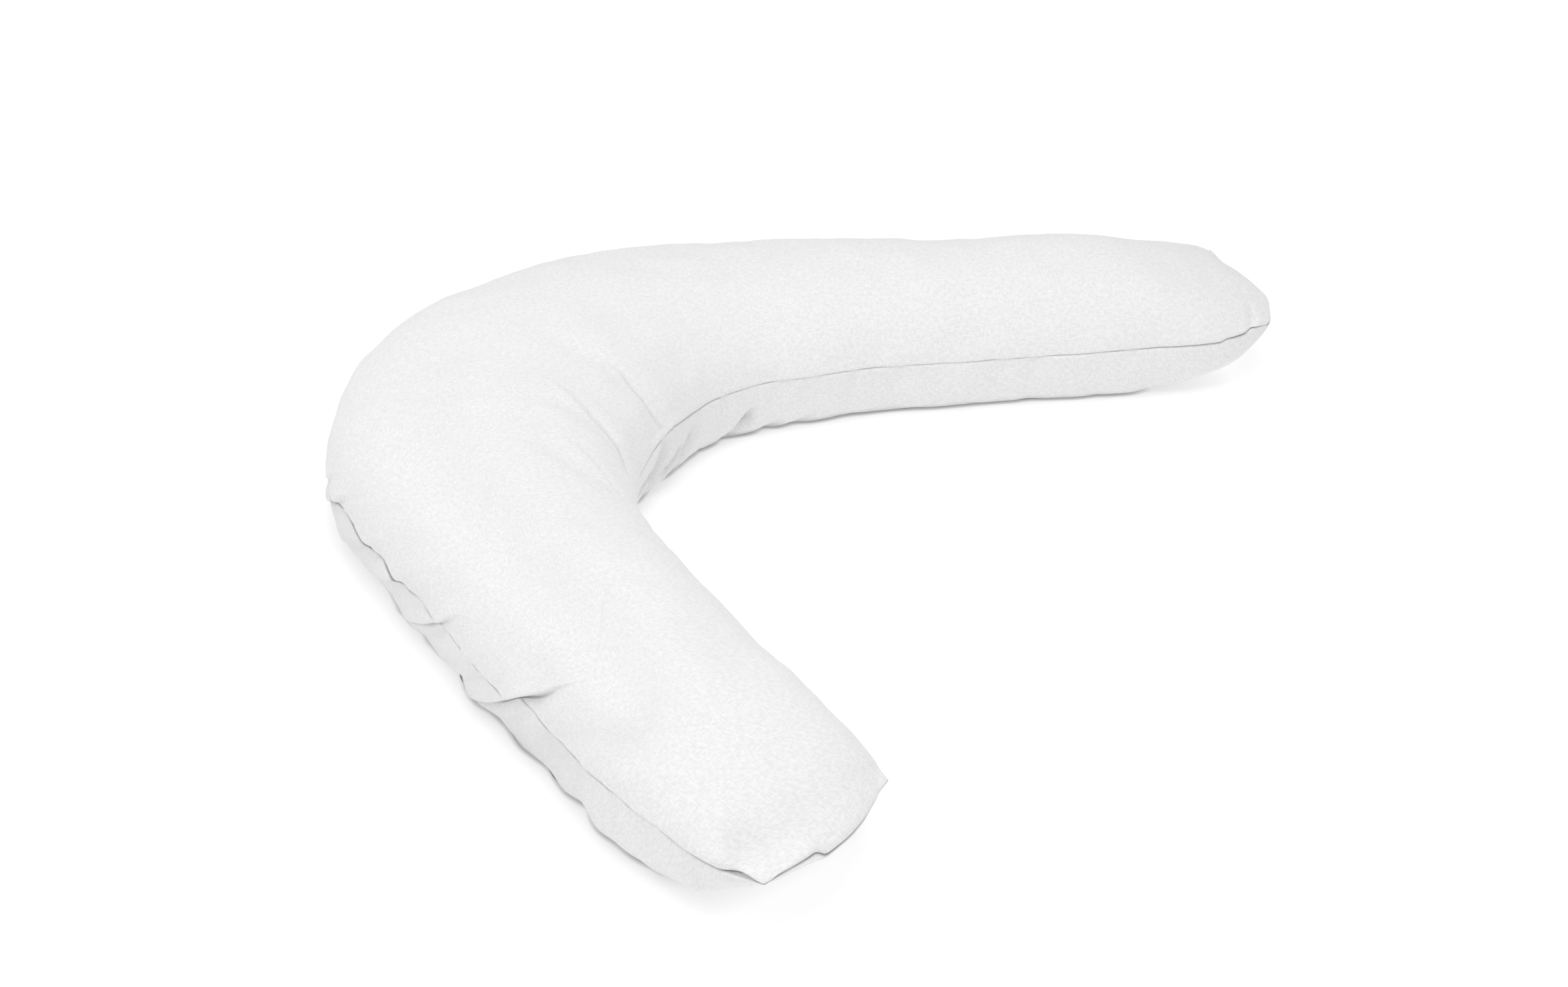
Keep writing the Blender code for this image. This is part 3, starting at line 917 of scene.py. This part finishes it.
    def far_course(self, at: Places) -> np.ndarray:
        """Draw the far end in or out.

        Args:
            at: the grid's places.

        Returns:
            How far each point moves on along the pillow.
        """
        ahead = smooth_curve(*np.array(FAR_COURSE).T, at.partner)
        from_far = self.form.line.length - at.along
        return ahead * (1.0 - smoothstep(from_far / FAR_COURSE_REACH))

    def wander(self, at: Places) -> np.ndarray:
        """Raise and lower the cloth by the seams, which don't run quite straight.

        Args:
            at: the grid's places.

        Returns:
            How far each point rises.
        """
        near_seam = 1.0 - smoothstep(np.abs(at.height) / self.seam.wander_reach)
        kink = np.interp(at.partner, *np.array(END_KINK).T)
        kink = kink * (1.0 - smoothstep(at.along / END_KINK_REACH))
        return self.read_seams("rise", at) * near_seam + kink

    def seam_groove(
        self, at: Places, sideways: np.ndarray, lengthways: np.ndarray
    ) -> tuple[np.ndarray, np.ndarray]:
        """The profile across the perimeter seam: depth exp(-distance / half width), with shoulders.

        Args:
            at: the grid's places.
            sideways: distance over the cloth to the nearer long seam.
            lengthways: distance over the cloth to the nearer end seam.

        Returns:
            How far the cloth moves out, and how much shade is painted on each point, for how shut
            away from the light it is, 0 to 1.
        """
        seam = self.seam
        gap, half_width, overhang = (
            self.read_seams(field, at) for field in ("gap", "half_width", "overhang")
        )
        groove = np.maximum(
            gap * np.exp(-sideways / half_width),
            seam.end_gap * np.exp(-lengthways / seam.end_half_width),
        )
        shoulder = seam.shoulder * bell(np.minimum(sideways, lengthways), seam.shoulder_width)
        over = bell(sideways - seam.overhang_at, seam.overhang_reach)
        overhang = overhang * np.where(at.around <= INNER_EDGE, over, 0.0)
        # painted shade: the deeper the gap, the darker the cloth's colour is painted
        dark = np.clip((groove - seam.open_gap) / (seam.full_gap - seam.open_gap), 0.0, 1.0)
        return shoulder + overhang - groove, dark


# ----------------------------------------------------------------------------------------------
# The mesh


@dataclass(frozen=True)
class MeshSizes:
    """How finely the cover is meshed. Metres, and tables of (around, step).

    The rows lie closer at the bend, by the first, bigger tucks and at the ends.
    """

    row_step: float = 0.0047
    bend_row_step: float = 0.0027
    bend_rows: tuple[float, float] = (0.42, 1.02)
    bend_rows_fade: float = 0.1
    tuck_row_step: float = 0.0011
    tuck_row_reach: float = 0.012
    fine_tucks: int = 2
    end_row_step: float = 0.0010
    end_row_reach: float = 0.010
    row_samples: int = 6001
    ring_samples: int = 4001
    top_steps: tuple[tuple[float, float], ...] = (
        (0.00, 0.0008), (0.03, 0.0013), (0.10, 0.0046), (1.15, 0.0052),
        (1.30, 0.0036), (1.86, 0.0032), (1.96, 0.0013), (2.00, 0.0008),
    )
    wall_steps: tuple[tuple[float, float], ...] = (
        (0.00, 0.0008), (0.04, 0.0014), (0.12, 0.0040), (0.50, 0.0044),
    )


class CoverGrid:
    """The places of the cover's grid: rows along the pillow, and a ring of places around it."""

    def __init__(self, form: FilledForm, sizes: MeshSizes) -> None:
        """Lay out the grid.

        Args:
            form: the smooth filled form.
            sizes: how finely it is meshed.
        """
        self.form = form
        self.sizes = sizes
        self.rows = self.row_places()
        top = self.ring_places(sizes.top_steps, ARC_PER_AROUND)
        wall = self.ring_places(sizes.wall_steps, WALL_LENGTH / WALL)
        self.top_faces = len(top) - 1
        # the underside has as many faces as the top, so that they meet point by point at the ends
        tread_faces = self.top_faces - 2 * (len(wall) - 1)
        tread = np.linspace(*TREAD, tread_faces + 1)
        walls = (INNER_EDGE + wall, RING - wall[::-1])
        self.ring = np.concatenate([top, walls[0][1:], tread[1:], walls[1][1:-1]])
        self.partners = np.concatenate([top, top[1:-1][::-1]])
        form.pair_places(np.append(self.ring[self.top_faces :], RING), top[::-1])

    def row_places(self) -> np.ndarray:
        """Space the rows by the length of cloth over the crest, closer at tucks, bend and ends.

        Returns:
            Rising distances along.
        """
        sizes, length = self.sizes, self.form.line.length
        dense = length * (1.0 - np.cos(np.linspace(0.0, math.pi, sizes.row_samples))) / 2.0
        cloth = run_lengths(self.form.surface(dense, np.ones_like(dense)))
        middle = (dense[1:] + dense[:-1]) / 2.0
        from_end = np.minimum(middle, length - middle)
        bend = within(middle, sizes.bend_rows, sizes.bend_rows_fade, sizes.bend_rows_fade)
        finer = [(bend, sizes.bend_row_step)]
        for tuck in TUCKS[: sizes.fine_tucks]:
            finer.append((bell(middle - tuck.at, sizes.tuck_row_reach), sizes.tuck_row_step))
        finer.append((bell(from_end, sizes.end_row_reach), sizes.end_row_step))
        step = np.full_like(middle, sizes.row_step)
        for share, fine_step in finer:
            step += (fine_step - step) * share
        return in_whole_steps(cloth / step, dense)

    def ring_places(self, steps: tuple[tuple[float, float], ...], arc: float) -> np.ndarray:
        """Space the places around by a table of steps.

        Args:
            steps: rising places with the length of a face there, in metres.
            arc: the length of cloth for each unit of "around".

        Returns:
            Places from the table's first to its last.
        """
        places, lengths = np.array(steps).T
        dense = np.linspace(places[0], places[-1], self.sizes.ring_samples)
        density = arc / np.interp((dense[1:] + dense[:-1]) / 2.0, places, lengths)
        return in_whole_steps(density * np.diff(dense), dense)

    def places(self) -> Places:
        """Spread the rows and the ring over a grid.

        Returns:
            The grid's places.
        """
        along, around = np.meshgrid(self.rows, self.ring, indexing="ij")
        outer = (around < CREST) | (around > BELLY)
        to_seams = np.minimum(around, RING - around), np.abs(around - INNER_EDGE)
        from_seam = np.where(outer, *to_seams)
        up, down = from_seam * ARC_PER_AROUND, from_seam / WALL * WALL_LENGTH
        partner = np.broadcast_to(self.partners, along.shape)
        height = np.where(around > INNER_EDGE, -down, up)
        return Places(along, around, partner, outer, height)


@dataclass(frozen=True)
class FacingSizes:
    """Which way the cloth is moved on the walls, and where the tread stays flat.

    The walls are moved level with the floor, wholly at the foot and less above foot_height, by
    the share high_share, and less where the cloth faces down too steeply, below level_enough.
    seam_fade, tread_fade: over how much "around" this comes in below a seam, and the tread goes
    flat. lifted: the tread is free of the floor at an end's tip, over lifted / (1 + lifted) of
    the length in which the end closes.
    """

    seam_fade: float = 0.1
    tread_fade: float = 0.05
    foot_height: float = 0.02
    high_share: float = 0.5
    level_enough: float = 0.3
    lifted: float = 0.2


class Cover:
    """The sewn cotton cover on its filling, as one closed mesh."""

    def __init__(self, grid: CoverGrid, detail: ClothDetail, sizes: FacingSizes) -> None:
        """Keep the grid and the cloth's detail.

        Args:
            grid: where the mesh's points are.
            detail: what the cloth does on top of the filled form.
            sizes: which way the walls are moved, and where the tread stays flat.
        """
        self.grid = grid
        self.form = grid.form
        self.detail = detail
        self.sizes = sizes

    def facing(self, points: np.ndarray) -> np.ndarray:
        """Which way the cloth faces, from the cross product of the grid's two directions.

        Args:
            points: the grid's points, of shape (rows, ring, 3).

        Returns:
            Directions of length 1 or less, level at the walls' foot so that no fold leaves it.
        """
        sizes, top = self.sizes, self.grid.top_faces
        turn = (np.roll(points, -1, axis=1) - np.roll(points, 1, axis=1)) / 2.0
        normal = np.cross(turn, np.gradient(points, axis=0))
        size = np.linalg.norm(normal, axis=-1, keepdims=True)
        normal = normal / np.maximum(size, ROUNDING)
        meets = (2 * top - np.arange(points.shape[1])) % points.shape[1]
        for end in (0, -1):
            shared = normal[end] + normal[end, meets]
            shared[[0, top]] = shared[[2, top - 2]]
            normal[end] = shared / np.linalg.norm(shared, axis=-1, keepdims=True)
        around = self.grid.ring[None, :, None]
        level = within(around, (INNER_EDGE, RING), sizes.seam_fade, sizes.seam_fade)
        high = smoothstep(points[..., 2:] / sizes.foot_height)
        flat = normal * np.array([1.0, 1.0, 0.0])
        size = np.maximum(np.linalg.norm(flat, axis=-1, keepdims=True), ROUNDING)
        flat = flat / size * smoothstep(size / sizes.level_enough)
        return normal + (flat - normal) * level * (1.0 - sizes.high_share * high)

    @staticmethod
    def cloth_around(points: np.ndarray) -> np.ndarray:
        """Measure the cloth around each row of points, from the outer seam and back to it."""
        return summed_up(run_lengths(np.concatenate([points, points[:, :1]], axis=1), 1), 1)

    def seam_distances(self, points: np.ndarray) -> tuple[np.ndarray, np.ndarray]:
        """Measure each point's distance from the perimeter seam over the cloth.

        Args:
            points: the grid's points.

        Returns:
            Metres to the nearer long seam, and metres to the nearer end seam.
        """
        top = self.grid.top_faces
        gone = self.cloth_around(points)
        panels = (gone[:, : top + 1], gone[:, top:] - gone[:, top : top + 1])
        sideways = [np.minimum(panel, panel[:, -1:] - panel)[:, :-1] for panel in panels]
        from_near = summed_up(run_lengths(points))
        return np.concatenate(sideways, axis=1), np.minimum(from_near, from_near[-1:] - from_near)

    def points(self) -> tuple[np.ndarray, np.ndarray]:
        """Lay the cloth: the filled form, its folds, the filling's unevenness and the seam.

        Returns:
            The grid's points, of shape (rows, ring, 3), and how much shade is painted on them, for
            how shut away from the light they are.
        """
        detail, at = self.detail, self.grid.places()
        leaning = detail.lean(at)
        smooth = self.form.surface(leaning, at.around)
        sideways, lengthways = self.seam_distances(smooth)
        out, back, lip_shade = detail.tucks(at)
        sunk, crease_shade = detail.creases(smooth, at.around)
        groove, seam_shade = detail.seam_groove(at, sideways, lengthways)
        lift = out - sunk - detail.puckers(at) + detail.unevenness(smooth) + groove
        # the four corners stay put, so that nothing folds over itself there
        lift = lift * smoothstep(np.maximum(sideways, lengthways) / detail.seam.corner_reach)
        fade = self.sizes.tread_fade
        lift = lift * (1.0 - within(at.around, TREAD, fade, fade) * self.flat_share(leaning))
        points = smooth + self.facing(smooth) * lift[..., None]
        ahead, aside = detail.far_course(at) - back, detail.outer_wall(at)
        _, _, heading = self.form.line.at(leaning)
        points[..., 0] += ahead * np.cos(heading) - aside * np.sin(heading)
        points[..., 1] += ahead * np.sin(heading) + aside * np.cos(heading)
        points[..., 2] += detail.wander(at)
        points[..., 2] = np.maximum(points[..., 2], 0.0)
        foot_shade = detail.foot_dark(at, leaning, points[..., 2])
        # painted shade: that of the seam's gap or a tuck's lip, of the creases and of the foot's
        # crack
        return points, np.minimum(np.maximum(seam_shade, lip_shade) + crease_shade + foot_shade, 1.0)

    def flat_share(self, along: np.ndarray) -> np.ndarray:
        """How much of the tread lies flat on the floor: all, except where the ends lift.

        Args:
            along: distances along.

        Returns:
            1 where the tread is on the floor, falling to 0 at the ends.
        """
        near = along / NEAR_END.under_close
        far = (self.form.line.length - along) / FAR_END.under_close
        lifted = self.sizes.lifted
        return smoothstep((1.0 + lifted) * np.minimum(near, far) - lifted)

    def build(self, name: str) -> bpy.types.Object:
        """Make the mesh: quads between neighbouring rows, both panels joined at each end seam.

        Args:
            name: the object's name.

        Returns:
            The cover's object, at the origin.
        """
        points, painted_shade = self.points()
        rows, ring = points.shape[:2]
        index = np.arange(rows * ring).reshape(rows, ring)
        under = np.arange(self.grid.top_faces + 1, ring)
        for end in (0, rows - 1):
            index[end, under] = index[end, ring - under]
        used, packed = np.unique(index, return_inverse=True)
        packed = packed.reshape(index.shape)
        after = np.roll(packed, -1, axis=1)
        quads = np.stack([packed[:-1], after[:-1], after[1:], packed[1:]], axis=-1).reshape(-1, 4)
        mesh = bpy.data.meshes.new(name)
        mesh.vertices.add(len(used))
        mesh.vertices.foreach_set("co", points.reshape(-1, 3)[used].ravel())
        mesh.loops.add(quads.size)
        mesh.loops.foreach_set("vertex_index", quads.ravel())
        mesh.polygons.add(len(quads))
        mesh.polygons.foreach_set("loop_start", np.arange(0, quads.size, 4))
        mesh.update(calc_edges=True)
        mesh.validate()
        self.lay_threads(mesh, points)
        # painted shade of seams, folds, tuck lips and the foot, which darkens the cotton's colour
        layer = mesh.attributes.new("painted_shade", "FLOAT", "POINT")
        layer.data.foreach_set("value", painted_shade.ravel()[used])
        mesh.shade_smooth()
        log.info("%s: %d points, %d faces", name, len(used), len(quads))
        return placed(name, mesh)

    def lay_threads(self, mesh: bpy.types.Mesh, points: np.ndarray) -> None:
        """Write the cloth's own flat coordinates, in metres, as its UV layer.

        Args:
            mesh: the cover's mesh, its faces in the grid's order.
            points: the grid's points.
        """
        across = self.cloth_around(points)
        along = np.repeat(self.grid.rows[:, None], across.shape[1], axis=1)
        flat = np.stack([along, across], axis=-1)
        corners = np.stack([flat[:-1, :-1], flat[:-1, 1:], flat[1:, 1:], flat[1:, :-1]], axis=2)
        mesh.uv_layers.new(name="threads").uv.foreach_set("vector", corners.ravel())


# ----------------------------------------------------------------------------------------------
# Materials


@dataclass(frozen=True)
class CottonFinish:
    """White woven cotton. Colours are linear, lengths in metres.

    specks: a noise's scale, detail and roughness. slub_detail: the detail of the slubs' noise.
    mottle: the noise values at which the shade and the colour are reached. The two strengths
    are those of the weave's and the slubs' bumps.
    """

    colour: Colour = grey(0.890)
    shade: Colour = grey(0.800)
    # painted shade: the colour that the cloth is darkened towards where little light reaches
    painted_shade_colour: Colour = grey(0.11)
    roughness: float = 0.92
    shine: float = 0.2
    sheen: float = 0.20
    sheen_roughness: float = 0.6
    thread_pitch: float = 0.0006
    thread_height: float = 0.00008
    thread_strength: float = 0.6
    slub_height: float = 0.00035
    slub_strength: float = 0.7
    slub_width: float = 0.0020
    slub_length: float = 0.0060
    slub_detail: float = 2.0
    specks: tuple[float, float, float] = (230.0, 5.0, 0.7)
    mottle: tuple[float, float] = (0.43, 0.57)


@dataclass(frozen=True)
class FloorFinish:
    """The pale studio floor.

    Near the cloth its glow is dimmed, as a painted contact shadow: crack and verge each give how
    near, in metres, and the share that is taken away where nothing of the sky is seen.
    """

    colour: Colour = grey(0.40)
    glow: float = 0.685
    crack: tuple[float, float] = (0.005, 0.72)
    verge: tuple[float, float] = (0.030, 0.26)
    rays: int = 8


class Recipe:
    """A material's nodes, with a short way to add one and join it to the others."""

    def __init__(self, name: str) -> None:
        """Start a material.

        Args:
            name: the material's name.
        """
        self.material = bpy.data.materials.new(name)
        self.material.use_nodes = True
        self.tree = self.material.node_tree
        self.shader = self.tree.nodes["Principled BSDF"]
        log.info("material %s", name)

    def feed(self, node: bpy.types.Node, inputs: dict[str | int, object]) -> None:
        """Set a node's inputs.

        Args:
            node: the node.
            inputs: for each input a value, or the output of another node to join to it.
        """
        for key, value in inputs.items():
            if isinstance(value, bpy.types.NodeSocket):
                self.tree.links.new(value, node.inputs[key])
            else:
                node.inputs[key].default_value = value

    def node(
        self, kind: str, inputs: dict[str | int, object], **settings: object
    ) -> bpy.types.NodeOutputs:
        """Add a node.

        Args:
            kind: its type.
            inputs: its inputs, as for feed.
            settings: its other settings.

        Returns:
            Its outputs.
        """
        node = self.tree.nodes.new(f"ShaderNode{kind}")
        for key, value in settings.items():
            setattr(node, key, value)
        self.feed(node, inputs)
        return node.outputs

    def maths(self, operation: str, *values: object) -> bpy.types.NodeSocket:
        """Do one operation on numbers or outputs, and give its result."""
        return self.node("Math", dict(enumerate(values)), operation=operation)["Value"]


class Workshop:
    """Makes the materials from their finishes."""

    @staticmethod
    def cotton(finish: CottonFinish) -> bpy.types.Material:
        """Make the cover's cotton: a plain weave with slubs, a faint mottle and painted shade.

        Args:
            finish: its colours and sizes.

        Returns:
            The material.
        """
        recipe = Recipe("white_cotton")
        threads = recipe.node("UVMap", {}, uv_map="threads")["UV"]
        space = recipe.node("TexCoord", {})["Object"]

        # slubs: thicker stretches of thread, as noise drawn out along either thread direction
        across, lengthwise = 1.0 / finish.slub_width, 1.0 / finish.slub_length
        yarns = []
        for stretch in ((across, lengthwise, 1.0), (lengthwise, across, 1.0)):
            drawn = recipe.node("VectorMath", {0: threads, 1: stretch}, operation="MULTIPLY")
            yarn = {"Vector": drawn["Vector"], "Scale": 1.0, "Detail": finish.slub_detail}
            yarns.append(recipe.node("TexNoise", yarn)["Fac"])
        slubs = recipe.maths("ADD", *yarns)

        # the mottle is the mean of the two slub noises and of a fine even one
        scale, detail, roughness = finish.specks
        specks = {"Vector": space, "Scale": scale, "Detail": detail, "Roughness": roughness}
        mottle = recipe.maths("ADD", recipe.node("TexNoise", specks)["Fac"], slubs)
        tone = recipe.tree.nodes.new("ShaderNodeValToRGB")
        recipe.feed(tone, {"Fac": recipe.maths("MULTIPLY", mottle, 1.0 / 3.0)})
        colours = (finish.shade, finish.colour)
        for stop, place, colour in zip(tone.color_ramp.elements, finish.mottle, colours):
            stop.position = place
            stop.color = colour

        # painted shade: the deep parts of seams, folds, tuck lips and the foot, which little light
        # reaches, are darkened in the colour
        painted_shade = recipe.node("Attribute", {}, attribute_name="painted_shade")["Fac"]
        dimmed = {"Factor": painted_shade, "A": tone.outputs["Color"], "B": finish.painted_shade_colour}
        dimmed = recipe.node("Mix", dimmed, data_type="RGBA")["Result"]

        # plain weave: sin(u) sin(v) over the two thread directions
        flat = recipe.node("SeparateXYZ", {"Vector": threads})
        turns = math.pi / finish.thread_pitch
        waves = (recipe.maths("SINE", recipe.maths("MULTIPLY", flat[axis], turns)) for axis in "XY")
        weave = recipe.maths("MULTIPLY", *waves)
        weave_bump = {
            "Height": weave,
            "Strength": finish.thread_strength,
            "Distance": finish.thread_height,
        }
        slub_bump = {
            "Height": slubs,
            "Strength": finish.slub_strength,
            "Distance": finish.slub_height,
            "Normal": recipe.node("Bump", weave_bump)["Normal"],
        }
        look = {
            "Base Color": dimmed,
            "Roughness": finish.roughness,
            "Specular IOR Level": finish.shine,
            "Sheen Weight": finish.sheen,
            "Sheen Roughness": finish.sheen_roughness,
            "Normal": recipe.node("Bump", slub_bump)["Normal"],
        }
        recipe.feed(recipe.shader, look)
        return recipe.material

    @staticmethod
    def floor(finish: FloorFinish) -> bpy.types.Material:
        """Make the floor's even white, which glows less near the cloth as a painted shadow.

        Args:
            finish: its colour and glow.

        Returns:
            The material.
        """
        recipe = Recipe("studio_floor")
        glow = finish.glow
        # painted shadow: the glow is dimmed where the cloth shuts out the sky
        for reach, share in (finish.crack, finish.verge):
            open_share = recipe.node("AmbientOcclusion", {"Distance": reach}, samples=finish.rays)
            left = recipe.maths("MULTIPLY_ADD", open_share["AO"], share, 1.0 - share)
            glow = recipe.maths("MULTIPLY", glow, left)
        look = {
            "Base Color": finish.colour,
            "Roughness": 1.0,
            "Specular IOR Level": 0.0,
            "Emission Color": WHITE,
            "Emission Strength": glow,
        }
        recipe.feed(recipe.shader, look)
        return recipe.material


# ----------------------------------------------------------------------------------------------
# Studio


@dataclass(frozen=True)
class CameraSizes:
    """Where the camera stands. Metres and degrees."""

    target: tuple[float, float, float] = (-0.0389, 0.1775, 0.0)
    elevation_deg: float = 30.2
    distance: float = 3.124
    focal_px: float = 4169.0
    width_px: float = 2383.0
    sensor_mm: float = 36.0


@dataclass(frozen=True)
class AreaLamp:
    """A soft light panel. Metres, watts and degrees."""

    name: str
    azimuth_deg: float
    elevation_deg: float
    distance: float
    size: float
    power: float


@dataclass(frozen=True)
class StudioSizes:
    """The floor and the light."""

    floor_size: float = 60.0
    floor_drop: float = 0.0004
    sky: float = 0.643
    lamps: tuple[AreaLamp, ...] = (
        AreaLamp("side_light", -60.0, 50.0, 3.4, 2.4, 15.3),
        AreaLamp("top_light", 0.0, 80.0, 3.4, 2.4, 41.5),
    )


class Studio:
    """The floor, the light and the camera."""

    def __init__(self, sizes: StudioSizes, camera: CameraSizes) -> None:
        """Keep the sizes of the floor and the light, and where the camera stands."""
        self.sizes = sizes
        self.camera = camera

    def build(self) -> None:
        """Make everything that is not the pillow."""
        self.build_floor()
        self.build_sky()
        for lamp in self.sizes.lamps:
            self.build_lamp(lamp)
        self.build_camera()

    def build_floor(self) -> None:
        """Lay the floor just under the pillow."""
        half = self.sizes.floor_size / 2.0
        corners = [
            (x * half, y * half, -self.sizes.floor_drop)
            for x, y in ((-1, -1), (1, -1), (1, 1), (-1, 1))
        ]
        mesh = bpy.data.meshes.new("floor")
        mesh.from_pydata(corners, [], [(0, 1, 2, 3)])
        mesh.materials.append(Workshop.floor(FloorFinish()))
        floor = placed("floor", mesh)
        log.info("floor: %.0f m square", self.sizes.floor_size)

    def build_sky(self) -> None:
        """Light the room evenly from all sides."""
        world = bpy.data.worlds.new("studio")
        world.use_nodes = True
        background = world.node_tree.nodes["Background"]
        background.inputs["Color"].default_value = WHITE
        background.inputs["Strength"].default_value = self.sizes.sky
        bpy.context.scene.world = world
        log.info("sky: strength %.3f", self.sizes.sky)

    def build_lamp(self, lamp: AreaLamp) -> None:
        """Hang one light panel, turned to the pillow.

        Args:
            lamp: where it hangs, its size and power.
        """
        light = bpy.data.lights.new(lamp.name, "AREA")
        light.shape = "DISK"
        light.size = lamp.size
        light.energy = lamp.power
        az, el = math.radians(lamp.azimuth_deg), math.radians(lamp.elevation_deg)
        away = Vector((math.sin(az) * math.cos(el), -math.cos(az) * math.cos(el), math.sin(el)))
        panel = placed(lamp.name, light)
        panel.location = away * lamp.distance
        panel.rotation_euler = away.to_track_quat("Z", "Y").to_euler()
        log.info("%s: %.0f W", lamp.name, lamp.power)

    def build_camera(self) -> None:
        """Set the camera up, looking along +Y and down at the pillow."""
        sizes = self.camera
        lens = bpy.data.cameras.new("camera")
        lens.sensor_width = sizes.sensor_mm
        lens.lens = sizes.focal_px / sizes.width_px * sizes.sensor_mm
        tilt = math.radians(sizes.elevation_deg)
        back = Vector((0.0, -math.cos(tilt), math.sin(tilt)))
        stand = Matrix.Translation(Vector(sizes.target) + back * sizes.distance)
        camera = placed("camera", lens)
        camera.matrix_world = stand @ back.to_track_quat("Z", "Y").to_matrix().to_4x4()
        scene = bpy.context.scene
        scene.camera = camera
        scene.view_settings.view_transform = "Standard"
        scene.view_settings.look = "None"
        log.info("camera: %.1f mm lens", lens.lens)


# ----------------------------------------------------------------------------------------------
# The pillow


class BodyPillow:
    """The whole product: one soft-filled cotton cover with one perimeter seam."""

    def __init__(self) -> None:
        """Lay out the form, the cloth and the grid."""
        form = FilledForm(MiddleLine(), SECTIONS)
        grid = CoverGrid(form, MeshSizes())
        self.cover = Cover(grid, ClothDetail(form, SeamSizes()), FacingSizes())

    def build(self) -> bpy.types.Object:
        """Make the cover and stand it in for the solid.

        Returns:
            The cover's object.
        """
        cover = self.cover.build("cotton_cover")
        cover.data.materials.append(Workshop.cotton(CottonFinish()))
        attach(cover, "root")
        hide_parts("pillow")
        return cover


def main() -> None:
    """Build the studio and the pillow."""
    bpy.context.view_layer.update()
    Studio(StudioSizes(), CameraSizes()).build()
    BodyPillow().build()


if __name__ == "__main__":
    main()
